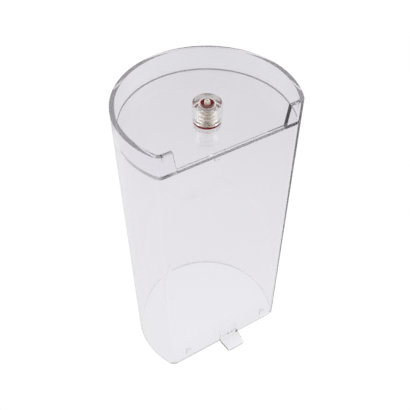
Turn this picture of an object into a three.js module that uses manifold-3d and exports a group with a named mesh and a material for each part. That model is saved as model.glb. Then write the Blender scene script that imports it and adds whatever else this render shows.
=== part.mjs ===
// Removable water tank with a spring-loaded outlet valve, standing upside down on its open mouth.
// Millimetres, +Z up. The mouth is at z = 0, the tank floor is near the top, and the outlet valve
// stands on it inside a short skirt. The flat back wall faces -Y.
import * as THREE from 'three';
import { mergeVertices } from 'three/addons/utils/BufferGeometryUtils.js';
import Module from 'manifold-3d';

const wasm = await Module();
wasm.setup();

// ---- tank: a D-shaped section, a circle cut by the flat back wall, with rounded corners ----
const tankHeight = 199.4;
const rimRadius = 50; // outside radius of the round wall, at the skirt rim
const flatDistance = 26.2; // from the circle's centre to the flat wall, at the skirt rim
const cornerRadius = 5;
const mouthFlare = 0.8; // moulding draft: how much wider each wall stands at the mouth
const wall = 2.5;
const skirtDepth = 13.3; // from the skirt rim to the tank floor's outer face
const floorThickness = 2.2;
const floorFace = tankHeight - skirtDepth;
const floorInside = floorFace - floorThickness;

// ---- opening cut in the skirt along the flat wall ----
const notchDepth = 13.9;
const notchHalfAtRim = 34.3;
const notchHalfAtBottom = 32.4;

// ---- lug, catches and gate mark on the flat wall ----
const lug = {
  x: 3.2, width: 15.6, reach: 11, plate: 2.2, tipNarrowing: 1.2,
  rootHeight: 13, rootRadius: 4, rootThickness: 0.7, rampReach: 1.6,
};
const catchNub = { places: [-30.5, 32.5], width: 4, low: 8, high: 11.5, proud: 0.4 };
const gateMark = { x: -9.9, width: 3.6, height: 1.2, proud: 0.5, belowNotch: 0.6 };
const wedgeTopShare = 0.2; // a wedge's height off the wall at its top, as a share of its lower end's

// ---- outlet valve, heights measured up from the floor's outer face ----
const fitGap = 0.1; // between pieces that are pressed or screwed together
const spigot = { radius: 8, topRadius: 7.6, shoulder: 11.6, top: 12 };
const bore = { radius: 4.65, mouthRadius: 3.6, lip: 0.3, seatCone: 0.9 };
const tail = { radius: 6, boreRadius: 5.2, low: -3.4, boreTop: 0.6 };
const gasket = { thickness: 1.7, radius: 7.6, bore: 6.6, edge: 0.35 };
const seal = { height: 10.53, ringRadius: 3, sectionRadius: 1.25, sides: 12 };
const poppet = {
  flangeRadius: 4.2, flangeTop: 9.23, flangeThickness: 0.8, flutes: 4, fluteRadius: 0.8,
  noseRadius: 1.7, noseShoulder: 11.2, tipRadius: 1.5, noseTop: 13.1, noseEdge: 0.25,
  dimpleRadius: 0.55, dimpleDepth: 1.6,
};
const stem = { radius: 1.8, low: -1.9, tip: 0.5 };
const spring = {
  ringRadius: 3.9, wireRadius: 0.55, lowerCoil: 1, activeCoils: 2, upperCoil: 0.5, // coils, in turns
  closedGap: 0.03, startAngle: -0.65 * Math.PI, wireSegments: 5, sweepSteps: 84,
};
const seat = {
  top: 0.4, thickness: 2, radius: 5.1, sleeveInside: 4.5, armWidth: 1.7, armPairs: 2,
  hubRadius: 2.8, guideRadius: 1.9, // the poppet's stem slides in the guide
};
const retainer = { radius: 7.2, low: -4.1, lipInside: 4, lipTop: -3.5, slotWidth: 2, slotDepth: 0.4 };

const turnSteps = 48; // facets of a valve piece's full turn
const roundWallSteps = 56;
const cornerSteps = 6;
const cutOverrun = 1; // how far a cutting solid runs past the face it cuts
const halfTurn = Math.PI;
const fullTurn = 2 * Math.PI;

// ---- solids ----
function toSolid(geometry) {
  const shape = geometry.clone();
  shape.deleteAttribute('normal');
  shape.deleteAttribute('uv');
  const merged = mergeVertices(shape, 1e-4);
  return new wasm.Manifold(new wasm.Mesh({
    numProp: 3,
    vertProperties: new Float32Array(merged.attributes.position.array),
    triVerts: new Uint32Array(merged.index.array),
  }));
}

function toGeometry(solid) {
  const mesh = solid.getMesh();
  const geometry = new THREE.BufferGeometry();
  geometry.setAttribute('position', new THREE.BufferAttribute(mesh.vertProperties, 3));
  geometry.setIndex(new THREE.BufferAttribute(mesh.triVerts, 1));
  return geometry;
}

// A ring or disc turned round the Z axis from [radius, height] points, closed on itself.
function turned(profile) {
  const points = profile.map(([radius, height]) => new THREE.Vector2(radius, height));
  points.push(points[0].clone());
  if (THREE.ShapeUtils.area(points) < 0) points.reverse();
  return toSolid(new THREE.LatheGeometry(points, turnSteps).rotateX(halfTurn / 2));
}

const disc = (radius, low, high) => turned([[0, low], [radius, low], [radius, high], [0, high]]);

const outline = (points) => new THREE.Shape(points.map(([x, y]) => new THREE.Vector2(x, y)));
const extruded = (shape, depth) => (
  new THREE.ExtrudeGeometry(shape, { depth, bevelEnabled: false, curveSegments: 8 }));

// A shape drawn in X and Z, and extruded along Y between two places.
function frontSlab(shape, yLow, yHigh) {
  return toSolid(extruded(shape, yHigh - yLow).rotateX(halfTurn / 2).translate(0, yHigh, 0));
}

// A shape drawn in Y and Z, and extruded along X between two places.
function sideSlab(shape, xLow, xHigh) {
  const turn = new THREE.Matrix4().makeBasis(
    new THREE.Vector3(0, 1, 0), new THREE.Vector3(0, 0, 1), new THREE.Vector3(1, 0, 0));
  return toSolid(extruded(shape, xHigh - xLow).applyMatrix4(turn).translate(xLow, 0, 0));
}

// The D-shaped outline, grown outwards by a distance: the corner arcs' centres stay where they are.
const cornerX = Math.sqrt((rimRadius - cornerRadius) ** 2 - (flatDistance - cornerRadius) ** 2);
const cornerY = cornerRadius - flatDistance;
const cornerAngle = Math.atan2(cornerY, cornerX);

function dOutline(grow) {
  const arc = (x, y, radius, from, to, steps) => Array.from({ length: steps + 1 }, (_, i) => {
    const angle = from + (to - from) * i / steps;
    return new THREE.Vector2(x + (radius + grow) * Math.cos(angle), y + (radius + grow) * Math.sin(angle));
  });
  return [
    ...arc(0, 0, rimRadius, cornerAngle, halfTurn - cornerAngle, roundWallSteps),
    ...arc(-cornerX, cornerY, cornerRadius, halfTurn - cornerAngle, 1.5 * halfTurn, cornerSteps).slice(1),
    ...arc(cornerX, cornerY, cornerRadius, -0.5 * halfTurn, cornerAngle, cornerSteps).slice(0, -1),
  ];
}

// A closed solid through D-shaped sections, each [height, outward growth], from the lowest up.
function dSolid(levels) {
  const rings = levels.map(([height, grow]) => dOutline(grow).map((p) => [p.x, p.y, height]));
  const count = rings[0].length;
  const index = [];
  for (let level = 0; level < rings.length - 1; level += 1) {
    for (let i = 0; i < count; i += 1) {
      const a = level * count + i;
      const b = level * count + (i + 1) % count;
      index.push(a, b, b + count, a, b + count, a + count);
    }
  }
  const top = (rings.length - 1) * count;
  for (const [a, b, c] of THREE.ShapeUtils.triangulateShape(dOutline(0), [])) {
    index.push(a, c, b, top + a, top + b, top + c);
  }
  const geometry = new THREE.BufferGeometry();
  geometry.setAttribute('position', new THREE.Float32BufferAttribute(rings.flat(2), 3));
  geometry.setIndex(index);
  return toSolid(geometry);
}

const flareAt = (height) => mouthFlare * (1 - height / tankHeight);
const wallFaceAt = (height) => -flatDistance - flareAt(height); // Y of the flat wall's outer face

// ---- tank shell: one moulding, with its lug, catches and gate mark ----
function skirtNotch() {
  const low = tankHeight - notchDepth;
  const high = tankHeight + cutOverrun;
  const halfAbove = notchHalfAtRim + (notchHalfAtRim - notchHalfAtBottom) * cutOverrun / notchDepth;
  const gap = outline([
    [-notchHalfAtBottom, low], [notchHalfAtBottom, low], [halfAbove, high], [-halfAbove, high],
  ]);
  return frontSlab(gap, wallFaceAt(0) - cutOverrun, wall - flatDistance);
}

// The lug's plate lies flush with the mouth, and a curved gusset rises from it up the wall.
function mouthLug() {
  const yRoot = wallFaceAt(0) + wall / 2;
  const yTip = wallFaceAt(0) - lug.reach;
  const ramp = new THREE.Shape();
  ramp.moveTo(yRoot, 0);
  ramp.lineTo(yRoot, lug.rootHeight);
  ramp.lineTo(wallFaceAt(lug.rootHeight), lug.rootHeight);
  const yRampEnd = wallFaceAt(0) - lug.rampReach;
  ramp.quadraticCurveTo(wallFaceAt(0) - lug.rootThickness, lug.plate, yRampEnd, lug.plate);
  ramp.lineTo(yTip, lug.plate);
  ramp.lineTo(yTip, 0);
  ramp.closePath();
  const low = lug.x - lug.width / 2;
  const high = lug.x + lug.width / 2;
  const arcHeight = lug.rootHeight - lug.rootRadius;
  const arch = new THREE.Shape();
  arch.moveTo(low, 0);
  arch.lineTo(high, 0);
  arch.absarc(high - lug.rootRadius, arcHeight, lug.rootRadius, 0, halfTurn / 2);
  arch.absarc(low + lug.rootRadius, arcHeight, lug.rootRadius, halfTurn / 2, halfTurn);
  arch.closePath();
  const plan = outline([
    [low + lug.tipNarrowing, yTip], [high - lug.tipNarrowing, yTip],
    [high, yRampEnd], [high, yRoot], [low, yRoot], [low, yRampEnd],
  ]);
  return sideSlab(ramp, low, high)
    .intersect(frontSlab(arch, yTip - cutOverrun, yRoot + cutOverrun))
    .intersect(toSolid(extruded(plan, lug.rootHeight)));
}

// A small wedge on the flat wall, nearly flush at its top and proud at its lower end.
function wallWedge(x, width, low, high, proud) {
  const inside = wall / 2;
  const flush = wedgeTopShare * proud;
  const side = outline([
    [wallFaceAt(low) + inside, low], [wallFaceAt(low) - proud, low],
    [wallFaceAt(high) - flush, high], [wallFaceAt(high) + inside, high],
  ]);
  return sideSlab(side, x - width / 2, x + width / 2);
}

function tankShell() {
  const inside = dSolid([[-cutOverrun, mouthFlare - wall], [floorInside, flareAt(floorInside) - wall]]);
  const recess = dSolid([[floorFace, -wall], [tankHeight + cutOverrun, -wall]]);
  const valveHole = disc(tail.radius + 2 * fitGap, floorInside - cutOverrun, floorFace + cutOverrun);
  const markTop = tankHeight - notchDepth - gateMark.belowNotch;
  let solid = dSolid([[0, mouthFlare], [tankHeight, 0]])
    .add(mouthLug())
    .add(wallWedge(gateMark.x, gateMark.width, markTop - gateMark.height, markTop, gateMark.proud));
  for (const x of catchNub.places) {
    solid = solid.add(wallWedge(x, catchNub.width, catchNub.low, catchNub.high, catchNub.proud));
  }
  return solid.subtract(inside).subtract(recess).subtract(skirtNotch()).subtract(valveHole);
}

// ---- valve pieces, each turned round the Z axis with the floor's outer face at height 0 ----
function valveBody() {
  const coneTop = spigot.top - bore.lip;
  return turned([
    [tail.radius, tail.low], [tail.radius, gasket.thickness + fitGap],
    [spigot.radius, gasket.thickness + fitGap], [spigot.radius, spigot.shoulder],
    [spigot.topRadius, spigot.top], [bore.mouthRadius, spigot.top],
    [bore.mouthRadius, coneTop], [bore.radius, coneTop - bore.seatCone],
    [bore.radius, tail.boreTop], [tail.boreRadius, tail.boreTop], [tail.boreRadius, tail.low],
  ]);
}

function valveGasket() {
  const { bore: inner, radius: outer, edge, thickness: high } = gasket;
  const low = fitGap / 2;
  return turned([
    [inner, low], [outer - edge, low], [outer, low + edge],
    [outer, high - edge], [outer - edge, high], [inner, high],
  ]);
}

function sealRing() {
  return turned(Array.from({ length: seal.sides }, (_, i) => [
    seal.ringRadius + seal.sectionRadius * Math.cos(i * fullTurn / seal.sides),
    seal.height + seal.sectionRadius * Math.sin(i * fullTurn / seal.sides),
  ]));
}

// Stem, flange and nose in one piece: flutes in the flange let water past it when it is pushed in.
function valvePoppet() {
  const flangeLow = poppet.flangeTop - poppet.flangeThickness;
  const dimpleFloor = poppet.noseTop - poppet.dimpleDepth;
  const { tip } = stem;
  let solid = turned([
    [0, stem.low], [stem.radius - tip, stem.low], [stem.radius, stem.low + tip],
    [stem.radius, flangeLow], [poppet.flangeRadius, flangeLow], [poppet.flangeRadius, poppet.flangeTop],
    [poppet.noseRadius, poppet.flangeTop], [poppet.noseRadius, poppet.noseShoulder],
    [poppet.tipRadius, poppet.noseTop - poppet.noseEdge],
    [poppet.tipRadius - poppet.noseEdge, poppet.noseTop], [poppet.dimpleRadius, poppet.noseTop],
    [poppet.dimpleRadius, dimpleFloor], [0, dimpleFloor],
  ]);
  for (let i = 0; i < poppet.flutes; i += 1) {
    const angle = i * fullTurn / poppet.flutes;
    const flute = disc(poppet.fluteRadius, flangeLow - cutOverrun, poppet.flangeTop + cutOverrun);
    const reach = poppet.flangeRadius + poppet.fluteRadius / 2;
    solid = solid.subtract(flute.translate([reach * Math.cos(angle), reach * Math.sin(angle), 0]));
  }
  return solid;
}

// The seat's hub and arms stand at the top of a sleeve, which the retainer holds up.
function springSeat() {
  const sleeveLow = tail.low + fitGap;
  const armLow = seat.top - seat.thickness;
  const armSpan = seat.radius + seat.sleeveInside;
  let solid = turned([
    [seat.sleeveInside, sleeveLow], [seat.radius, sleeveLow],
    [seat.radius, seat.top], [seat.sleeveInside, seat.top],
  ]);
  for (let i = 0; i < seat.armPairs; i += 1) {
    const arm = new THREE.BoxGeometry(armSpan, seat.armWidth, seat.thickness);
    arm.rotateZ(i * halfTurn / seat.armPairs).translate(0, 0, armLow + seat.thickness / 2);
    solid = solid.add(toSolid(arm));
  }
  return solid
    .add(disc(seat.hubRadius, armLow, seat.top))
    .subtract(disc(seat.guideRadius, armLow - cutOverrun, seat.top + cutOverrun));
}

// A ring that screws onto the valve body's tail inside the tank; a slot takes the tool that turns it.
function valveRetainer() {
  const top = -floorThickness - fitGap;
  const inner = tail.radius + fitGap;
  const ring = turned([
    [inner, retainer.lipTop], [inner, top], [retainer.radius, top], [retainer.radius, retainer.low],
    [retainer.lipInside, retainer.low], [retainer.lipInside, retainer.lipTop],
  ]);
  const slot = new THREE.BoxGeometry(4 * retainer.radius, retainer.slotWidth, 2 * retainer.slotDepth);
  return ring.subtract(toSolid(slot.translate(0, 0, retainer.low)));
}

// ---- coil spring: its end coils close up, and the coils between them are evenly pitched ----
class CoilCurve extends THREE.Curve {
  constructor(low, high) {
    super();
    const { lowerCoil, activeCoils, upperCoil, wireRadius } = spring;
    this.turns = lowerCoil + activeCoils + upperCoil;
    this.low = low;
    this.closedPitch = 2 * wireRadius + spring.closedGap;
    this.pitch = (high - low - (lowerCoil + upperCoil) * this.closedPitch) / activeCoils;
  }

  getPoint(t, target = new THREE.Vector3()) {
    const turn = t * this.turns;
    const active = THREE.MathUtils.clamp(turn - spring.lowerCoil, 0, spring.activeCoils);
    const height = this.low + (turn - active) * this.closedPitch + active * this.pitch;
    const angle = fullTurn * turn + spring.startAngle;
    return target.set(spring.ringRadius * Math.cos(angle), spring.ringRadius * Math.sin(angle), height);
  }
}

function valveSpring() {
  const low = seat.top + spring.wireRadius + fitGap / 2;
  const high = poppet.flangeTop - poppet.flangeThickness - spring.wireRadius - fitGap / 2;
  const wire = new THREE.Shape();
  wire.absarc(0, 0, spring.wireRadius, 0, fullTurn);
  return new THREE.ExtrudeGeometry(wire, {
    curveSegments: spring.wireSegments,
    steps: spring.sweepSteps,
    bevelEnabled: false,
    extrudePath: new CoilCurve(low, high),
  });
}

// ---- assembly ----
const clearPlastic = { color: 0xdfe0e8, roughness: 0.06, metalness: 0, transparent: true, opacity: 0.35 };
const ivoryPlastic = { color: 0xe6d9bd, roughness: 0.4, metalness: 0 };
const redSilicone = { color: 0xa01208, roughness: 0.3, metalness: 0 };
const springSteel = { color: 0xc9c6bf, roughness: 0.22, metalness: 1 };

function node(name, geometry, finish, height = floorFace) {
  const mesh = new THREE.Mesh(geometry, new THREE.MeshStandardMaterial(finish));
  mesh.name = name;
  mesh.position.z = height;
  return mesh;
}

const outletValve = new THREE.Group();
outletValve.add(
  node('valve_body', toGeometry(valveBody()), clearPlastic),
  node('valve_gasket', toGeometry(valveGasket()), redSilicone),
  node('valve_poppet', toGeometry(valvePoppet()), ivoryPlastic),
  node('poppet_seal', toGeometry(sealRing()), redSilicone),
  node('valve_spring', valveSpring(), springSteel),
  node('spring_seat', toGeometry(springSeat()), clearPlastic),
  node('valve_retainer', toGeometry(valveRetainer()), clearPlastic),
);

const tank = new THREE.Group();
tank.add(node('tank_shell', toGeometry(tankShell()), clearPlastic, 0), outletValve);

// The origin is under the middle of the whole tank, lug included, on the plane of its mouth.
const yMost = rimRadius + mouthFlare;
const yLeast = wallFaceAt(0) - lug.reach;
tank.position.y = -(yMost + yLeast) / 2;

export default tank;
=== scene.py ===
"""Clear, D-section removable water tank, standing upside down on its open mouth, with its outlet valve.

Blender units are metres. Shapes are drawn in millimetres about the valve's axis, with heights from
the mouth for the tank and from the floor's outer face for the valve, and placed by the CAD frame.
"""
import math

import bmesh
import bpy
from mathutils import Matrix, Vector


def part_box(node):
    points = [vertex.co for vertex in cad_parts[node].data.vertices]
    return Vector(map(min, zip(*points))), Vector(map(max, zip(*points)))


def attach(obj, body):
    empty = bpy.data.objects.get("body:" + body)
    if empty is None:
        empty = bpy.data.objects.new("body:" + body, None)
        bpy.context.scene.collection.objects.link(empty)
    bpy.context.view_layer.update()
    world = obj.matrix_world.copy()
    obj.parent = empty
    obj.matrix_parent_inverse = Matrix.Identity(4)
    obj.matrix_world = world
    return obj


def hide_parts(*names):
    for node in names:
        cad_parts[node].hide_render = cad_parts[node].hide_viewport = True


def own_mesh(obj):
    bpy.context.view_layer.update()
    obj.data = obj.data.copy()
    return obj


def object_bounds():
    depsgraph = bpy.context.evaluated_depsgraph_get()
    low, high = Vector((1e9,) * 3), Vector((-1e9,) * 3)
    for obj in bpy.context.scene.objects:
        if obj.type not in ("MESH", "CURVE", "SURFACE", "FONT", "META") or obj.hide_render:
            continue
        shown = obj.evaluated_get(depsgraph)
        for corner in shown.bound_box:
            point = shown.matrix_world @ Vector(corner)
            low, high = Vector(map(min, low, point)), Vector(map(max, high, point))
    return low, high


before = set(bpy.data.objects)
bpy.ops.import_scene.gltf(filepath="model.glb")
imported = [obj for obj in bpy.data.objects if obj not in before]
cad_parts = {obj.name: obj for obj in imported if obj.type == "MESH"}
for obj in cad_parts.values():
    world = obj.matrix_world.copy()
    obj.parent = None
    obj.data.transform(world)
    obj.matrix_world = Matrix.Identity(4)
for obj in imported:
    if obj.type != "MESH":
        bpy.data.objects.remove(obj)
cad_low, cad_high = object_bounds()

MM = 0.001
HALF_TURN = math.pi
FULL_TURN = 2 * math.pi

# ---- where the frame puts things ----
gasket_low, gasket_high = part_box("valve_gasket")
shell_low, shell_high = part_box("tank_shell")
spring_low, spring_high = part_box("valve_spring")
AXIS_Y = (gasket_low.y + gasket_high.y) / 2  # the valve's axis, which is the round wall's too
GASKET_LOW = 0.05  # the gasket's underside stands this far off the floor, in millimetres
FLOOR_Z = gasket_low.z - GASKET_LOW * MM
TANK_HEIGHT = (shell_high.z - shell_low.z) / MM
FLOOR_FACE = (FLOOR_Z - shell_low.z) / MM

# ---- tank, in millimetres ----
RIM_RADIUS = 50.0
FLAT_DISTANCE = 26.2
CORNER_RADIUS = 5.0
MOUTH_FLARE = 0.78  # a hair less than the CAD, whose round wall is faceted
WALL = 2.5
FLOOR_THICKNESS = 2.2
INNER_FILLET = 0.25
FLOOR_FILLET = 0.15
EDGE = 0.15  # rounding of the moulding's outer edges
WALL_RINGS = (16.0, 50.0, 90.0, 140.0, 181.0)  # heights of the wall's rows of points, outside
INNER_WALL_RINGS = (140.0, 90.0, 40.0)
SKIRT_RINGS = (1.0, 5.0, 9.0)  # and on the skirt, above the notch's bottom
FLOOR_RINGS = (0.03, 0.15, 0.35, 0.6, 0.85, 1.0)  # shares of the way from the wall to the valve's hole
EDGE_STEPS = 4
ROUND_WALL_STEPS = 220
CORNER_STEPS = 24
NOTCH_COLUMNS = 20
NOTCH_DEPTH = 13.9
NOTCH_HALF_TOP = 34.3
NOTCH_HALF_LOW = 32.4
VALVE_HOLE = 6.2
CORNER_X = math.sqrt((RIM_RADIUS - CORNER_RADIUS) ** 2 - (FLAT_DISTANCE - CORNER_RADIUS) ** 2)
CORNER_Y = CORNER_RADIUS - FLAT_DISTANCE
CORNER_ANGLE = math.atan2(CORNER_Y, CORNER_X)

# ---- lug, catches and gate mark on the flat wall ----
LUG_X = 3.2
LUG_WIDTH = 15.6
LUG_REACH = 11.0
LUG_PLATE = 2.2
LUG_NARROWING = 1.2
LUG_ROOT_HEIGHT = 13.0
LUG_ROOT_RADIUS = 4.0
LUG_ROOT_THICKNESS = 0.7
LUG_RAMP = 1.6
LUG_EDGE = 0.2
LUG_CORNER = 0.8
NUB_LEFT = -30.5
NUB_RIGHT = 32.5
NUB_HALF = 2.0
NUB_LOW = 8.0
NUB_HIGH = 11.5
NUB_PROUD = 0.4
GATE_X = -9.9
GATE_HALF = 1.8
GATE_HEIGHT = 1.2
GATE_PROUD = 0.5
GATE_BELOW_NOTCH = 0.6

# ---- outlet valve, heights above the floor's outer face ----
SPIGOT_RADIUS = 8.0
SPIGOT_TOP_RADIUS = 7.6
SPIGOT_SHOULDER = 11.6
SPIGOT_TOP = 12.0
BORE_RADIUS = 4.65
MOUTH_RADIUS = 3.6
MOUTH_LIP = 0.3
SEAT_CONE = 0.9
TAIL_RADIUS = 6.0
TAIL_BORE = 5.2
TAIL_LOW = -3.4
TAIL_BORE_TOP = 0.6
GASKET_THICKNESS = 1.7
GASKET_RADIUS = 7.6
GASKET_BORE = 6.6
FIT_GAP = 0.1
SEAL_HEIGHT = 10.53
SEAL_RING = 3.0
SEAL_SECTION = 1.25
FLANGE_RADIUS = 4.2
FLANGE_TOP = 9.23
FLANGE_THICKNESS = 0.8
FLUTE_COUNT = 4
FLUTE_RADIUS = 0.8
FLUTE_OUT = 0.4  # the flutes' axes stand this far outside the flange
NOSE_RADIUS = 1.7
NOSE_SHOULDER = 11.2
TIP_RADIUS = 1.5
NOSE_TOP = 13.1
DIMPLE_RADIUS = 0.55
DIMPLE_DEPTH = 1.6
STEM_RADIUS = 1.8
STEM_LOW = -1.9
SPRING_RING = 3.9
WIRE_RADIUS = 0.55
LOWER_COIL = 1.0
ACTIVE_COILS = 2.0
UPPER_COIL = 0.5
CLOSED_GAP = 0.03  # between the turns of a closed end
COIL_START = -0.65 * HALF_TURN
SEAT_TOP = 0.4
SEAT_THICKNESS = 2.0
SEAT_RADIUS = 5.1
SLEEVE_INSIDE = 4.5
ARM_COUNT = 4
ARM_WIDTH = 1.7
ARM_SHORTFALL = 0.02  # the arms are this much thinner than the seat, so that no faces coincide
HUB_RADIUS = 2.8
GUIDE_RADIUS = 1.9
RETAINER_RADIUS = 7.2
RETAINER_LOW = -4.1
RETAINER_INSIDE = 4.0
RETAINER_LIP_TOP = -3.5
SLOT_WIDTH = 2.0
SLOT_DEPTH = 0.4


# ---- mesh helpers ----
TURNED_STEPS = 96
SHARP_DEGREES = 40


def new_piece(name, verts, faces, base_z):
    """A smooth mesh from millimetre points about the valve's axis, with base_z the height of their zero."""
    mesh = bpy.data.meshes.new(name)
    mesh.from_pydata([(x * MM, y * MM + AXIS_Y, z * MM + base_z) for x, y, z in verts], [], faces)
    mesh.validate()
    mesh.shade_smooth()
    piece = bpy.data.objects.new(name, mesh)
    bpy.context.scene.collection.objects.link(piece)
    return piece


def face_out(piece):
    """Turns a closed mesh's faces outwards."""
    work = bmesh.new()
    work.from_mesh(piece.data)
    bmesh.ops.recalc_face_normals(work, faces=work.faces)
    work.to_mesh(piece.data)
    work.free()
    return piece


def quads(rows, count, closed):
    """Faces between neighbouring rows of count points, each row a loop; closed joins last to first."""
    faces = []
    for i in range(rows if closed else rows - 1):
        here, there = i * count, (i + 1) % rows * count
        for j in range(count):
            k = (j + 1) % count
            faces.append((here + j, there + j, there + k, here + k))
    return faces


def end_caps(rows, count):
    """The first and last rows as two faces."""
    return [tuple(range(count)), tuple(reversed(range((rows - 1) * count, rows * count)))]


def bake_modifiers(piece):
    depsgraph = bpy.context.evaluated_depsgraph_get()
    mesh = bpy.data.meshes.new_from_object(piece.evaluated_get(depsgraph))
    old = piece.data
    piece.modifiers.clear()
    piece.data = mesh
    bpy.data.meshes.remove(old)
    mesh.name = piece.name


def combine(piece, others, operation):
    """Joins or cuts piece with the other solids, which are then removed, and keeps the seams sharp."""
    marks = [bpy.data.materials.new(mark) for mark in ("own_faces", "other_faces")]
    piece.data.materials.append(marks[0])
    for other in others:
        other.data.materials.append(marks[1])
        cut = piece.modifiers.new("combine", "BOOLEAN")
        cut.operation = operation
        cut.solver = "EXACT"
        cut.material_mode = "TRANSFER"
        cut.object = other
    bake_modifiers(piece)
    for other in others:
        bpy.data.objects.remove(other)
    owners = {}
    for face in piece.data.polygons:
        for key in face.edge_keys:
            owners.setdefault(key, set()).add(face.material_index)
    for edge in piece.data.edges:
        edge.use_edge_sharp = len(owners.get(edge.key, ())) > 1
    for face in piece.data.polygons:
        face.material_index = 0
    piece.data.materials.clear()
    for mark in marks:
        bpy.data.materials.remove(mark)


def even_normals(piece):
    """Sharp where faces meet steeply, and flat faces keep their own normals next to rounded edges."""
    seams = [edge.index for edge in piece.data.edges if edge.use_edge_sharp]
    piece.data.set_sharp_from_angle(angle=math.radians(SHARP_DEGREES))
    for seam in seams:
        piece.data.edges[seam].use_edge_sharp = True
    weighted = piece.modifiers.new("weighted", "WEIGHTED_NORMAL")
    weighted.keep_sharp = True
    weighted.weight = 100
    bake_modifiers(piece)


def arc_points(centre, radius, start, end, steps):
    return [
        (centre[0] + radius * math.cos(start + (end - start) * i / steps),
         centre[1] + radius * math.sin(start + (end - start) * i / steps))
        for i in range(steps + 1)
    ]


def rounded(corners, steps=4):
    """A closed outline through (u, v, radius) corners, each rounded by its radius."""
    points = []
    count = len(corners)
    for i, (u, v, radius) in enumerate(corners):
        if radius == 0:
            points.append((u, v))
            continue
        here = Vector((u, v))
        back = (Vector(corners[i - 1][:2]) - here).normalized()
        ahead = (Vector(corners[(i + 1) % count][:2]) - here).normalized()
        half = back.angle(ahead) / 2
        middle = here + (back + ahead).normalized() * radius / math.sin(half)
        start = here + back * radius / math.tan(half) - middle
        sweep = start.angle_signed(here + ahead * radius / math.tan(half) - middle)
        for step in range(steps + 1):
            turn = Matrix.Rotation(-sweep * step / steps, 2)
            points.append(tuple(middle + turn @ start))
    return points


def spun(outline):
    """The points of a (radius, height) outline carried round the valve's axis."""
    angles = [FULL_TURN * i / TURNED_STEPS for i in range(TURNED_STEPS)]
    return [(r * math.cos(angle), r * math.sin(angle), z) for angle in angles for r, z in outline]


def turned(name, outline):
    """A ring turned round the valve's axis from a closed (radius, height) outline."""
    return face_out(new_piece(name, spun(outline), quads(TURNED_STEPS, len(outline), True), FLOOR_Z))


def turned_solid(name, outline):
    """A solid turned from an open (radius, height) outline, whose first and last points lie on the axis."""
    inner = outline[1:-1]
    verts = [(0, 0, outline[0][1]), (0, 0, outline[-1][1])] + spun(inner)
    count = len(inner)
    faces = []
    for i in range(TURNED_STEPS):
        here, there = 2 + i * count, 2 + (i + 1) % TURNED_STEPS * count
        faces.append((0, there, here))
        faces.append((1, here + count - 1, there + count - 1))
        for j in range(count - 1):
            faces.append((here + j, there + j, there + j + 1, here + j + 1))
    return face_out(new_piece(name, verts, faces, FLOOR_Z))


# ---- tank shell ----
def flare_at(height):
    """How far the wall's outside stands out from the rim's outline, for draft."""
    return MOUTH_FLARE * (1 - height / TANK_HEIGHT)


class Column:
    """One upright line of the shell: where it stands on the D-shaped outline, and how the notch trims it.

    trim is how far the skirt's section is pulled in where its end is rounded into the notch.
    """

    def __init__(self, x, y, nx, ny, open_skirt=False, trim=0.0, lean=0):
        self.x, self.y, self.nx, self.ny = x, y, nx, ny
        self.open_skirt, self.trim, self.lean = open_skirt, trim, lean

    def at(self, growth, height):
        slope = (NOTCH_HALF_TOP - NOTCH_HALF_LOW) / NOTCH_DEPTH
        above = max(0.0, height - (TANK_HEIGHT - NOTCH_DEPTH))
        return (self.x + self.nx * growth + self.lean * slope * above, self.y + self.ny * growth, height)


def arc_columns(cx, cy, radius, start, end, steps):
    angles = [start + (end - start) * i / steps for i in range(steps + 1)]
    return [
        Column(cx + radius * math.cos(a), cy + radius * math.sin(a), math.cos(a), math.sin(a))
        for a in angles
    ]


def flat_columns():
    """The flat wall's columns from left to right: skirt, rounded skirt end, notch, and the same mirrored."""
    skirt = (CORNER_X - 1.6, CORNER_X - 3.2, NOTCH_HALF_LOW + 2.4, NOTCH_HALF_LOW + EDGE + 0.3)
    left = [(-x, False, 0.0, -1) for x in skirt]
    for i in range(EDGE_STEPS + 1):
        turn = HALF_TURN / 2 * i / EDGE_STEPS
        left.append((-NOTCH_HALF_LOW - EDGE * (1 - math.sin(turn)), False, EDGE * (1 - math.cos(turn)), -1))
    left += [(-x, True, 0.0, 0) for x in (NOTCH_HALF_LOW, NOTCH_HALF_LOW - 0.5)]
    first, spacing = -NOTCH_HALF_LOW + 2.4, 3.0
    middle = [(first + spacing * i, True, 0.0, 0) for i in range(NOTCH_COLUMNS)]
    right = [(-x, is_open, trim, -lean) for x, is_open, trim, lean in reversed(left)]
    return [
        Column(x, -FLAT_DISTANCE, 0.0, -1.0, is_open, trim, lean)
        for x, is_open, trim, lean in left + middle + right
    ]


def skirt_section(trim):
    """The skirt from the notch's bottom level up over its rim and down to the floor, as (growth, height)."""
    top, low = TANK_HEIGHT - trim, TANK_HEIGHT - NOTCH_DEPTH
    radius = max(EDGE - trim, 0.0)
    outer = [(flare_at(low + rise) - trim, low + rise) for rise in SKIRT_RINGS]
    rim = arc_points((-trim - radius, top - radius), radius, 0, HALF_TURN / 2, EDGE_STEPS)
    rim += arc_points((-WALL + trim + radius, top - radius), radius, HALF_TURN / 2, HALF_TURN, EDGE_STEPS)
    inner = [(-WALL + trim, low + rise) for rise in reversed(SKIRT_RINGS[1:])]
    foot = arc_points(
        (-WALL - FLOOR_FILLET, FLOOR_FACE + FLOOR_FILLET), FLOOR_FILLET, 0, -HALF_TURN / 2, EDGE_STEPS)
    return outer + rim + inner + foot


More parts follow.
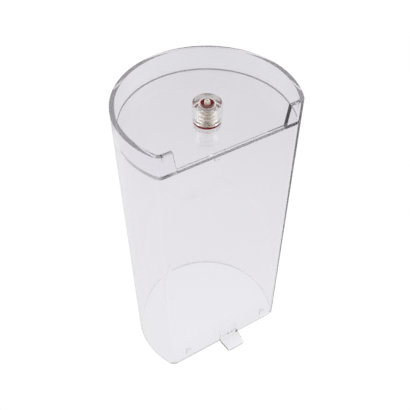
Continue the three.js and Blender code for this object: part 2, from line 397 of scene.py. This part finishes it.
def notch_section():
    """The same stretch where the skirt is cut away: over the notch's bottom, and up to the floor."""
    low = TANK_HEIGHT - NOTCH_DEPTH
    step = FLOOR_FACE - low
    growth = flare_at(low)
    over = arc_points((growth - EDGE, low - EDGE), EDGE, 0, HALF_TURN / 2, EDGE_STEPS)[1:]
    ease = step / 3
    lip = arc_points((-WALL - ease, FLOOR_FACE - ease), ease, 0, HALF_TURN / 2, EDGE_STEPS)
    spare = len(skirt_section(0.0)) - len(over) - len(lip)  # both sections have as many points
    flat = [(growth - EDGE - (WALL + growth - EDGE) * i / spare, low) for i in range(1, spare + 1)]
    return over + flat + lip


def shell_section(column):
    """One column's closed section, as 3-D points: up the outside, over the top, and down the inside."""
    low = TANK_HEIGHT - NOTCH_DEPTH - EDGE
    floor_low = FLOOR_FACE - FLOOR_THICKNESS
    growth_in = flare_at(floor_low) - WALL
    outer = [(flare_at(z), z) for z in (EDGE, *WALL_RINGS, low)]
    skirt = notch_section() if column.open_skirt else skirt_section(column.trim)
    points = [column.at(growth, z) for growth, z in outer + skirt]

    def towards_hole(growth, z, shares):
        """Points on the floor's face from the wall in to the valve's hole, or back."""
        x, y, _ = column.at(growth, 0.0)
        angle = math.atan2(y, x)
        hx, hy = VALVE_HOLE * math.cos(angle), VALVE_HOLE * math.sin(angle)
        return [(x + (hx - x) * t, y + (hy - y) * t, z) for t in shares]

    points += towards_hole(-WALL - FLOOR_FILLET, FLOOR_FACE, FLOOR_RINGS)
    points += towards_hole(growth_in - INNER_FILLET, floor_low, reversed(FLOOR_RINGS))
    fillet = arc_points(
        (growth_in - INNER_FILLET, floor_low - INNER_FILLET), INNER_FILLET, HALF_TURN / 2, 0, 2 * EDGE_STEPS)
    wall_in = [(flare_at(z) - WALL, z) for z in INNER_WALL_RINGS]
    rim = arc_points((MOUTH_FLARE - WALL + EDGE, EDGE), EDGE, HALF_TURN, 1.5 * HALF_TURN, EDGE_STEPS)
    rim += arc_points((MOUTH_FLARE - EDGE, EDGE), EDGE, -HALF_TURN / 2, 0, EDGE_STEPS)[:-1]
    points += [column.at(growth, z) for growth, z in fillet + wall_in + rim]
    return points


def shell_body():
    """The moulding without its bosses: one section after another round the D-shaped outline."""
    columns = arc_columns(0, 0, RIM_RADIUS, CORNER_ANGLE, HALF_TURN - CORNER_ANGLE, ROUND_WALL_STEPS)
    columns += arc_columns(
        -CORNER_X, CORNER_Y, CORNER_RADIUS, HALF_TURN - CORNER_ANGLE, 1.5 * HALF_TURN, CORNER_STEPS)[1:]
    columns += flat_columns()
    columns += arc_columns(
        CORNER_X, CORNER_Y, CORNER_RADIUS, -HALF_TURN / 2, CORNER_ANGLE, CORNER_STEPS)[:-1]
    sections = [shell_section(column) for column in columns]
    verts = [point for section in sections for point in section]
    return new_piece("clear_shell", verts, quads(len(sections), len(sections[0]), True), shell_low.z)


def wall_boss(name, x, levels, root=0.9):
    """A boss on the flat wall, from its levels (height, half width, distance out, corner radius, taper).

    root is how deep it reaches into the wall.
    """
    rings = []
    for height, half, out, corner, taper in levels:
        face = -FLAT_DISTANCE - flare_at(height)
        corner = min(corner, 0.9 * out)
        tip = face - out
        tip_half = half - taper
        ring = [(x - half, face + root), (x - half, face)]
        ring += arc_points(
            (x - tip_half + corner, tip + corner), corner, HALF_TURN, 1.5 * HALF_TURN, EDGE_STEPS)
        ring += arc_points(
            (x + tip_half - corner, tip + corner), corner, 1.5 * HALF_TURN, FULL_TURN, EDGE_STEPS)
        ring += [(x + half, face), (x + half, face + root)]
        rings.append([(px, py, height) for px, py in ring])
    rows, count = len(rings), len(rings[0])
    verts = [point for ring in rings for point in ring]
    faces = end_caps(rows, count) + quads(rows, count, False)
    return face_out(new_piece(name, verts, faces, shell_low.z))


def lug_boss():
    """A plate flush with the mouth, and a curved gusset that rises from it up the wall."""
    half = LUG_WIDTH / 2
    turns = [HALF_TURN / 2 * i / 3 for i in range(4)]
    plate = [(LUG_EDGE * (1 - math.cos(turn)), LUG_EDGE * (1 - math.sin(turn))) for turn in turns]
    plate += [
        (LUG_PLATE - LUG_EDGE * (1 - math.sin(turn)), LUG_EDGE * (1 - math.cos(turn))) for turn in turns]
    levels = [
        (height, half - inset, LUG_REACH - inset, LUG_CORNER, LUG_NARROWING) for height, inset in plate]
    hair = 0.02  # keeps faces and levels from coinciding
    web_half = half - LUG_EDGE - hair
    steps = 12
    for i in range(steps + 1):
        t = i / steps
        height = LUG_PLATE + (LUG_ROOT_HEIGHT - LUG_PLATE) * t * t
        out = (1 - t) ** 2 * LUG_RAMP + 2 * t * (1 - t) * LUG_ROOT_THICKNESS
        over = max(0.0, height - (LUG_ROOT_HEIGHT - LUG_ROOT_RADIUS))
        narrowed = LUG_ROOT_RADIUS - math.sqrt(max(LUG_ROOT_RADIUS ** 2 - over ** 2, 0.0))
        levels.append((height + hair / 2 * (i + 1), web_half - narrowed, max(out, hair), LUG_CORNER / 2, 0.0))
    return wall_boss("lug", LUG_X, [(height + hair, *rest) for height, *rest in levels])


def wedge_boss(name, x, half, low, high, proud):
    """A small wedge, proud at its lower end and nearly flush at its top."""
    ease = 0.2
    return wall_boss(name, x, [
        (low, half - ease, proud - ease, 0.15, 0.0),
        (low + ease, half, proud, 0.25, 0.0),
        (high - ease, half, 0.25 * proud, 0.1, 0.0),
        (high, half - ease, 0.05 * proud, 0.05, 0.0),
    ])


def tank_shell():
    shell = shell_body()
    gate_top = TANK_HEIGHT - NOTCH_DEPTH - GATE_BELOW_NOTCH
    bosses = [
        lug_boss(),
        wedge_boss("catch_left", NUB_LEFT, NUB_HALF, NUB_LOW, NUB_HIGH, NUB_PROUD),
        wedge_boss("catch_right", NUB_RIGHT, NUB_HALF, NUB_LOW, NUB_HIGH, NUB_PROUD),
        wedge_boss("gate_mark", GATE_X, GATE_HALF, gate_top - GATE_HEIGHT, gate_top, GATE_PROUD),
    ]
    combine(shell, bosses, "UNION")
    even_normals(shell)
    return shell


# ---- valve ----
def valve_body():
    """The clear spigot: plain mouth, conical seat for the O-ring, bore, and a tail through the floor."""
    cone_top = SPIGOT_TOP - MOUTH_LIP
    outline = rounded([
        (TAIL_RADIUS, TAIL_LOW, 0.3), (TAIL_RADIUS, GASKET_THICKNESS + FIT_GAP, 0.1),
        (SPIGOT_RADIUS, GASKET_THICKNESS + FIT_GAP, 0.25), (SPIGOT_RADIUS, SPIGOT_SHOULDER, 0.3),
        (SPIGOT_TOP_RADIUS, SPIGOT_TOP, 0.3), (MOUTH_RADIUS, SPIGOT_TOP, 0.12),
        (MOUTH_RADIUS, cone_top, 0.08), (BORE_RADIUS, cone_top - SEAT_CONE, 0.1),
        (BORE_RADIUS, TAIL_BORE_TOP, 0.1), (TAIL_BORE, TAIL_BORE_TOP, 0.1), (TAIL_BORE, TAIL_LOW, 0.2),
    ])
    piece = turned("spigot", outline)
    even_normals(piece)
    return piece


def valve_gasket():
    piece = turned("base_gasket", rounded([
        (GASKET_BORE, GASKET_LOW, 0.15), (GASKET_RADIUS, GASKET_LOW, 0.4),
        (GASKET_RADIUS, GASKET_THICKNESS, 0.4), (GASKET_BORE, GASKET_THICKNESS, 0.15),
    ], 8))
    even_normals(piece)
    return piece


def poppet_seal():
    """The O-ring."""
    return turned("seal_ring", arc_points((SEAL_RING, SEAL_HEIGHT), SEAL_SECTION, 0, FULL_TURN, 24)[:-1])


def valve_poppet():
    """The stem, its fluted flange that carries the O-ring, and its tapered, dimpled nose."""
    flange_low = FLANGE_TOP - FLANGE_THICKNESS
    piece = turned_solid("poppet_stem", rounded([
        (0.0, STEM_LOW, 0), (STEM_RADIUS, STEM_LOW, 0.5), (STEM_RADIUS, flange_low, 0.3),
        (FLANGE_RADIUS, flange_low, 0.15), (FLANGE_RADIUS, FLANGE_TOP, 0.15), (NOSE_RADIUS, FLANGE_TOP, 0.1),
        (NOSE_RADIUS, NOSE_SHOULDER, 0.3), (TIP_RADIUS, NOSE_TOP, 0.25), (DIMPLE_RADIUS, NOSE_TOP, 0.12),
        (DIMPLE_RADIUS, NOSE_TOP - DIMPLE_DEPTH, 0.2), (0.0, NOSE_TOP - DIMPLE_DEPTH, 0),
    ]))
    flutes = []
    for i in range(FLUTE_COUNT):
        angle = FULL_TURN * i / FLUTE_COUNT
        reach = FLANGE_RADIUS + FLUTE_OUT
        x, y = reach * math.cos(angle), reach * math.sin(angle)
        bpy.ops.mesh.primitive_cylinder_add(
            vertices=32, radius=FLUTE_RADIUS * MM, depth=3 * MM,
            location=(x * MM, y * MM + AXIS_Y, FLOOR_Z + (flange_low + FLANGE_TOP) / 2 * MM))
        flutes.append(bpy.context.object)
    combine(piece, flutes, "DIFFERENCE")
    even_normals(piece)
    return piece


def coil_point(turn, low, high):
    """The wire's centre after so many turns, between the heights of its first and last centres."""
    closed_pitch = 2 * WIRE_RADIUS + CLOSED_GAP
    pitch = (high - low - (LOWER_COIL + UPPER_COIL) * closed_pitch) / ACTIVE_COILS
    active = min(max(turn - LOWER_COIL, 0.0), ACTIVE_COILS)
    height = low + (turn - active) * closed_pitch + active * pitch
    angle = FULL_TURN * turn + COIL_START
    return Vector((SPRING_RING * math.cos(angle), SPRING_RING * math.sin(angle), height))


def valve_spring():
    """The coil, swept from a round wire with square-cut ends."""
    low = (spring_low.z - FLOOR_Z) / MM + WIRE_RADIUS
    high = (spring_high.z - FLOOR_Z) / MM - WIRE_RADIUS
    turns = LOWER_COIL + ACTIVE_COILS + UPPER_COIL
    steps, sides = 280, 16
    rings = []
    for i in range(steps + 1):
        turn = turns * i / steps
        centre = coil_point(turn, low, high)
        near = 0.001
        along = (coil_point(turn + near, low, high) - coil_point(turn - near, low, high)).normalized()
        outward = Vector((centre.x, centre.y, 0)).normalized()
        outward = (outward - along * outward.dot(along)).normalized()
        side = along.cross(outward)
        rings.append([
            centre + WIRE_RADIUS * (outward * math.cos(FULL_TURN * j / sides)
                                    + side * math.sin(FULL_TURN * j / sides))
            for j in range(sides)
        ])
    verts = [tuple(point) for ring in rings for point in ring]
    faces = end_caps(steps + 1, sides) + quads(steps + 1, sides, False)
    piece = face_out(new_piece("coil_spring", verts, faces, FLOOR_Z))
    piece.data.set_sharp_from_angle(angle=math.radians(60))
    return piece


def box_solid(name, size, centre, angle):
    """A box, in millimetres about the valve's axis, turned by angle about its own upright axis."""
    bpy.ops.mesh.primitive_cube_add(size=1)
    piece = bpy.context.object
    piece.name = name
    sx, sy, sz = size
    cx, cy, cz = centre
    piece.data.transform(
        Matrix.Translation((cx * MM, cy * MM + AXIS_Y, cz * MM + FLOOR_Z))
        @ Matrix.Rotation(angle, 4, "Z") @ Matrix.Diagonal((sx * MM, sy * MM, sz * MM, 1)))
    return piece


def spring_seat():
    """A sleeve and a hub joined by arms: the spring stands on it, and the stem slides in its hub."""
    arm_low = SEAT_TOP - SEAT_THICKNESS
    piece = turned("spring_guide", rounded([
        (SLEEVE_INSIDE, TAIL_LOW + FIT_GAP, 0.1), (SEAT_RADIUS, TAIL_LOW + FIT_GAP, 0.15),
        (SEAT_RADIUS, SEAT_TOP, 0.15), (SLEEVE_INSIDE, SEAT_TOP, 0.1),
    ]))
    hub = turned("hub", rounded([
        (GUIDE_RADIUS, arm_low, 0.15), (HUB_RADIUS, arm_low, 0.15),
        (HUB_RADIUS, SEAT_TOP, 0.15), (GUIDE_RADIUS, SEAT_TOP, 0.15),
    ]))
    reach = (HUB_RADIUS + GUIDE_RADIUS) / 2
    length = (SEAT_RADIUS + SLEEVE_INSIDE) / 2 - reach
    arms = []
    for i in range(ARM_COUNT):
        angle = FULL_TURN * i / ARM_COUNT
        middle = reach + length / 2
        centre = (middle * math.cos(angle), middle * math.sin(angle), arm_low + SEAT_THICKNESS / 2)
        arms.append(box_solid("arm", (length, ARM_WIDTH, SEAT_THICKNESS - ARM_SHORTFALL), centre, angle))
    combine(piece, [hub] + arms, "UNION")
    even_normals(piece)
    return piece


def valve_retainer():
    """The ring under the tank's floor that holds the valve body, with a slot across it for a driver."""
    top = -FLOOR_THICKNESS - FIT_GAP
    inner = TAIL_RADIUS + FIT_GAP
    piece = turned("retaining_ring", rounded([
        (inner, RETAINER_LIP_TOP, 0.1), (inner, top, 0.2), (RETAINER_RADIUS, top, 0.2),
        (RETAINER_RADIUS, RETAINER_LOW, 0.3), (RETAINER_INSIDE, RETAINER_LOW, 0.15),
        (RETAINER_INSIDE, RETAINER_LIP_TOP, 0.15),
    ]))
    slot = box_solid("slot", (4 * RETAINER_RADIUS, SLOT_WIDTH, 2 * SLOT_DEPTH), (0, 0, RETAINER_LOW), 0)
    combine(piece, [slot], "DIFFERENCE")
    even_normals(piece)
    return piece


# ---- materials ----
class Nodes:
    """Short names for building the node tree of a material or a world."""

    def __init__(self, owner, output="ShaderNodeOutputMaterial"):
        owner.use_nodes = True
        self.tree = owner.node_tree
        self.tree.nodes.clear()
        self.output = self.add(output)

    def add(self, kind, **settings):
        node = self.tree.nodes.new(kind)
        for key, value in settings.items():
            setattr(node, key, value)
        return node

    def link(self, source, target):
        self.tree.links.new(source, target)

    def noise(self, scale, detail=3.0, roughness=0.5, stretch=None):
        """Noise in object space; scale is in features per metre."""
        place = self.add("ShaderNodeTexCoord").outputs["Object"]
        if stretch:
            mapping = self.add("ShaderNodeMapping")
            mapping.inputs["Scale"].default_value = stretch
            self.link(place, mapping.inputs["Vector"])
            place = mapping.outputs["Vector"]
        noise = self.add("ShaderNodeTexNoise")
        noise.inputs["Scale"].default_value = scale
        noise.inputs["Detail"].default_value = detail
        noise.inputs["Roughness"].default_value = roughness
        self.link(place, noise.inputs["Vector"])
        return noise.outputs["Fac"]

    def remap(self, value, from_low, from_high, to_low, to_high, **settings):
        """Carries one range of values to another, and holds still beyond its ends."""
        node = self.add("ShaderNodeMapRange", **settings)
        for name, number in (
            ("From Min", from_low), ("From Max", from_high), ("To Min", to_low), ("To Max", to_high),
        ):
            node.inputs[name].default_value = number
        self.link(value, node.inputs["Value"])
        return node.outputs["Result"]

    def mix_colour(self, value, low, high):
        node = self.add("ShaderNodeMix", data_type="RGBA")
        node.inputs["A"].default_value = (*low, 1)
        node.inputs["B"].default_value = (*high, 1)
        self.link(value, node.inputs["Factor"])
        return node.outputs["Result"]

    def bump(self, height, distance):
        """A bump as deep as distance, in metres."""
        node = self.add("ShaderNodeBump")
        node.inputs["Strength"].default_value = 1.0
        node.inputs["Distance"].default_value = distance
        self.link(height, node.inputs["Height"])
        return node.outputs["Normal"]

    def along(self, place, heading):
        """How far a place lies along a heading."""
        node = self.add("ShaderNodeVectorMath", operation="DOT_PRODUCT")
        node.inputs[1].default_value = heading
        self.link(place, node.inputs[0])
        return node.outputs["Value"]

    def product(self, first, *others):
        for other in others:
            node = self.add("ShaderNodeMath", operation="MULTIPLY")
            self.link(first, node.inputs[0])
            self.link(other, node.inputs[1])
            first = node.outputs["Value"]
        return first


def clear_plastic(name, tint, absorbed, density, ripple, polish):
    """Clear moulded styrene: gently rippled skin, faint scuffs, and a tint that deepens with thickness."""
    material = bpy.data.materials.new(name)
    n = Nodes(material)
    shader = n.add("ShaderNodeBsdfPrincipled")
    shader.inputs["Base Color"].default_value = (*tint, 1)
    shader.inputs["IOR"].default_value = 1.49
    shader.inputs["Transmission Weight"].default_value = 1.0
    scuffs = n.noise(900, 4, 0.65, stretch=(1, 1, 0.25))
    n.link(n.remap(scuffs, 0.45, 0.75, *polish), shader.inputs["Roughness"])
    flow = n.noise(38, 2, 0.4, stretch=(1, 1, 0.35))
    n.link(n.bump(flow, ripple), shader.inputs["Normal"])
    n.link(shader.outputs["BSDF"], n.output.inputs["Surface"])
    volume = n.add("ShaderNodeVolumeAbsorption")
    volume.inputs["Color"].default_value = (*absorbed, 1)
    volume.inputs["Density"].default_value = density
    n.link(volume.outputs["Volume"], n.output.inputs["Volume"])
    return material


def silicone(name, dark, light, gloss):
    """Red silicone, blotched from dark to light, with a fine moulded grain."""
    material = bpy.data.materials.new(name)
    n = Nodes(material)
    shader = n.add("ShaderNodeBsdfPrincipled")
    shader.inputs["IOR"].default_value = 1.43
    shader.inputs["Subsurface Weight"].default_value = 0.05
    shader.inputs["Subsurface Scale"].default_value = 0.001
    shader.inputs["Specular IOR Level"].default_value = gloss
    blotch = n.noise(420, 3, 0.55)
    n.link(n.mix_colour(blotch, dark, light), shader.inputs["Base Color"])
    grain = n.noise(6500, 3, 0.6)
    n.link(n.remap(grain, 0.3, 0.7, 0.16, 0.3), shader.inputs["Roughness"])
    n.link(n.bump(grain, 0.00001), shader.inputs["Normal"])
    n.link(shader.outputs["BSDF"], n.output.inputs["Surface"])
    return material


def ivory(name):
    """Natural acetal, satin and faintly blotched."""
    material = bpy.data.materials.new(name)
    n = Nodes(material)
    shader = n.add("ShaderNodeBsdfPrincipled")
    shader.inputs["IOR"].default_value = 1.5
    blotch = n.noise(500, 4, 0.6)
    n.link(n.mix_colour(blotch, (0.86, 0.77, 0.66), (0.94, 0.87, 0.77)), shader.inputs["Base Color"])
    grain = n.noise(5200, 4, 0.6)
    n.link(n.remap(grain, 0.3, 0.7, 0.3, 0.5), shader.inputs["Roughness"])
    n.link(n.bump(grain, 0.000012), shader.inputs["Normal"])
    n.link(shader.outputs["BSDF"], n.output.inputs["Surface"])
    return material


def drawn_steel(name):
    """Bright stainless wire with drawing marks along it."""
    material = bpy.data.materials.new(name)
    n = Nodes(material)
    shader = n.add("ShaderNodeBsdfPrincipled")
    shader.inputs["Metallic"].default_value = 1.0
    stains = n.noise(700, 4, 0.6)
    n.link(n.mix_colour(stains, (0.84, 0.79, 0.72), (0.96, 0.93, 0.88)), shader.inputs["Base Color"])
    draw_marks = n.noise(3600, 3, 0.6, stretch=(0.25, 0.25, 2.0))
    n.link(n.remap(draw_marks, 0.3, 0.7, 0.06, 0.16), shader.inputs["Roughness"])
    n.link(n.bump(draw_marks, 0.000004), shader.inputs["Normal"])
    n.link(shader.outputs["BSDF"], n.output.inputs["Surface"])
    return material


# ---- pieces, each on its body, standing for its CAD node ----
plastic = clear_plastic(
    "clear_styrene", tint=(0.98, 0.975, 0.985), absorbed=(0.62, 0.60, 0.62), density=10.0,
    ripple=0.000006, polish=(0.015, 0.07))
valve_plastic = clear_plastic(
    "clear_valve_plastic", tint=(0.985, 0.98, 0.965), absorbed=(0.70, 0.70, 0.64), density=8.0,
    ripple=0.000004, polish=(0.14, 0.20))
red = silicone("red_silicone", dark=(0.22, 0.004, 0.002), light=(0.32, 0.010, 0.006), gloss=0.35)
seal_red = silicone("seal_silicone", dark=(0.19, 0.003, 0.002), light=(0.27, 0.007, 0.004), gloss=0.12)
pale = ivory("ivory_acetal")
steel = drawn_steel("spring_wire")

PIECES = (
    (tank_shell, "tank_shell", "tank", "clear_plastic", plastic),
    (valve_body, "valve_body", "tank", "clear_plastic", valve_plastic),
    (valve_gasket, "valve_gasket", "tank", "red_silicone", red),
    (valve_poppet, "valve_poppet", "poppet", "ivory_plastic", pale),
    (poppet_seal, "poppet_seal", "poppet", "red_silicone", seal_red),
    (valve_spring, "valve_spring", "tank", "spring_steel", steel),
    (spring_seat, "spring_seat", "tank", "clear_plastic", valve_plastic),
    (valve_retainer, "valve_retainer", "tank", "clear_plastic", valve_plastic),
)
made = {}
for make, cad_node, body, slot, finish in PIECES:
    item = make()
    item.data.materials.clear()
    item.data.materials.append(finish)
    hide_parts(cad_node)
    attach(item, body)
    made[cad_node] = item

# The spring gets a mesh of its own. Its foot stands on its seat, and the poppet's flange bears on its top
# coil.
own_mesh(made["valve_spring"])

# ---- stage: a pale floor lit from below, with painted shade in its glow, and soft light from above ----
scene = bpy.context.scene
scene.view_settings.view_transform = "Standard"
scene.cycles.max_bounces = 160
scene.cycles.transmission_bounces = 160
scene.cycles.glossy_bounces = 160
scene.cycles.diffuse_bounces = 4
scene.cycles.sample_clamp_indirect = 12.0
scene.cycles.blur_glossy = 0.2
CAMERA_AZIMUTH = -31.494
CAMERA_ELEVATION = 49.438


def direction(azimuth, elevation):
    """The unit vector towards a place seen at that azimuth, from -Y towards +X, and elevation, in degrees."""
    a, e = math.radians(azimuth), math.radians(elevation)
    return Vector((math.sin(a) * math.cos(e), -math.cos(a) * math.cos(e), math.sin(e)))


PHOTOGRAPHER = direction(CAMERA_AZIMUTH, CAMERA_ELEVATION)  # where the photographer stands
TENT_BACK = direction(CAMERA_AZIMUTH + 180, CAMERA_ELEVATION)  # what level faces mirror to the lens
PHOTOGRAPHER_AWAY = -direction(CAMERA_AZIMUTH, 0)
PAINTED_FALLOFF_HEADING = direction(CAMERA_AZIMUTH + 135, 0)  # the floor's painted falloff of light runs this way, back and to the right


def pale_floor():
    """A floor that looks white, while the plastic shows and mirrors one with painted shade: a painted shadow
    under the tank, and a painted falloff away from it.

    The shades lie still on the floor: they follow neither the tank's pose nor a view's camera.
    """
    size = 6.0
    mesh = bpy.data.meshes.new("floor")
    mesh.from_pydata(
        [(-size, -size, 0), (size, -size, 0), (size, size, 0), (-size, size, 0)], [], [(0, 1, 2, 3)])
    floor = bpy.data.objects.new("floor", mesh)
    scene.collection.objects.link(floor)
    floor.location.z = cad_low.z - 0.3 * MM
    material = bpy.data.materials.new("floor_with_painted_shade")
    n = Nodes(material)
    place = n.add("ShaderNodeTexCoord").outputs["Object"]
    parts = n.add("ShaderNodeSeparateXYZ")
    n.link(place, parts.inputs["Vector"])
    wall_y = AXIS_Y - FLAT_DISTANCE * MM
    # Each painted shade runs between two places, in metres, and between two brightnesses.
    # painted falloff: the glow dims back and to the right
    painted_falloff = n.remap(n.along(place, PAINTED_FALLOFF_HEADING), -0.02, 0.35, 1.0, 0.90)
    # painted shade: the glow dims far behind the tank
    beyond = n.remap(n.along(place, PHOTOGRAPHER_AWAY), 0.11, 0.21, 1.0, 0.955)
    # painted light: the glow is brighter in a strip just in front of the flat wall, dimmer further out
    painted_light_before_wall = n.remap(parts.outputs["Y"], wall_y - 0.09, wall_y - 0.015, 0.84, 0.94)
    # painted shadow: the glow dims under the tank
    painted_shadow_under_tank = n.remap(parts.outputs["Y"], wall_y - 0.016, wall_y - 0.003, 1.0, 0.84 / 0.94)
    shade = n.product(beyond, painted_shadow_under_tank, painted_light_before_wall, painted_falloff)
    # the camera sees an even glow; only what the plastic shows and mirrors carries the painted shade
    strength = n.add("ShaderNodeMix", data_type="FLOAT")
    strength.inputs["B"].default_value = 1.02
    n.link(n.add("ShaderNodeLightPath").outputs["Is Camera Ray"], strength.inputs["Factor"])
    n.link(shade, strength.inputs["A"])
    light = n.add("ShaderNodeEmission")
    light.inputs["Color"].default_value = (1.0, 0.993, 1.022, 1)
    n.link(strength.outputs["Result"], light.inputs["Strength"])
    n.link(light.outputs["Emission"], n.output.inputs["Surface"])
    mesh.materials.append(material)


def room():
    """A light tent, with a dark gap where the photographer stands; the backdrop itself is white."""
    world = bpy.data.worlds.new("room")
    scene.world = world
    n = Nodes(world, "ShaderNodeOutputWorld")
    place = n.add("ShaderNodeTexCoord").outputs["Generated"]
    parts = n.add("ShaderNodeSeparateXYZ")
    n.link(place, parts.inputs["Vector"])
    ramp = n.add("ShaderNodeValToRGB")
    level, top = ramp.color_ramp.elements
    level.position = 0.0
    level.color = (0.84, 0.84, 0.86, 1)
    top.position = 1.0
    top.color = (0.96, 0.96, 0.97, 1)
    n.link(parts.outputs["Z"], ramp.inputs["Fac"])

    def dimmed_patch(centre, wide, narrow, strength):
        """1 over the tent, falling to strength between two angles from a patch's centre, in degrees."""
        return n.remap(
            n.along(place, centre), math.cos(math.radians(wide)), math.cos(math.radians(narrow)),
            1.0, strength, interpolation_type="SMOOTHSTEP")

    gap = dimmed_patch(PHOTOGRAPHER, 38, 22, 0.0)
    back = dimmed_patch(TENT_BACK, 50, 30, 0.72)
    tent = n.add("ShaderNodeBackground")
    n.link(ramp.outputs["Color"], tent.inputs["Color"])
    n.link(n.product(gap, back), tent.inputs["Strength"])
    backdrop = n.add("ShaderNodeBackground")
    backdrop.inputs["Color"].default_value = (1, 1, 1, 1)
    mix = n.add("ShaderNodeMixShader")
    n.link(n.add("ShaderNodeLightPath").outputs["Is Camera Ray"], mix.inputs["Fac"])
    n.link(tent.outputs["Background"], mix.inputs[1])
    n.link(backdrop.outputs["Background"], mix.inputs[2])
    n.link(mix.outputs["Shader"], n.output.inputs["Surface"])


def softbox(name, azimuth):
    """A square soft light aimed at the top of the tank."""
    elevation, distance = 30, 0.9
    light = bpy.data.lights.new(name, "AREA")
    light.shape = "SQUARE"
    light.size = 0.7
    light.energy = 1.2
    lamp = bpy.data.objects.new(name, light)
    scene.collection.objects.link(lamp)
    back = direction(azimuth, elevation)
    lamp.location = Vector((0, AXIS_Y, shell_high.z)) + back * distance
    lamp.rotation_euler = back.to_track_quat("Z", "Y").to_euler()


def add_camera():
    """The photograph's view: close to the tank, from its front left and well above."""
    roll = math.radians(0.364)
    distance = 0.3783
    aim = (cad_low + cad_high) / 2 + Vector((1.2, -4.3, -2.8)) * MM
    data = bpy.data.cameras.new("camera")
    data.sensor_width = 36.0
    data.lens = 51.415
    data.shift_x = -0.0032
    data.shift_y = 0.0539
    data.clip_start = 0.01
    camera = bpy.data.objects.new("camera", data)
    scene.collection.objects.link(camera)
    right = direction(CAMERA_AZIMUTH + 90, 0)
    up = PHOTOGRAPHER.cross(right)
    level = Matrix((right, up, PHOTOGRAPHER)).transposed().to_4x4()
    camera.matrix_world = (
        Matrix.Translation(aim + PHOTOGRAPHER * distance) @ level @ Matrix.Rotation(roll, 4, "Z"))
    scene.camera = camera


pale_floor()
room()
softbox("softbox_left", CAMERA_AZIMUTH - 95)
softbox("softbox_right", CAMERA_AZIMUTH + 95)
add_camera()
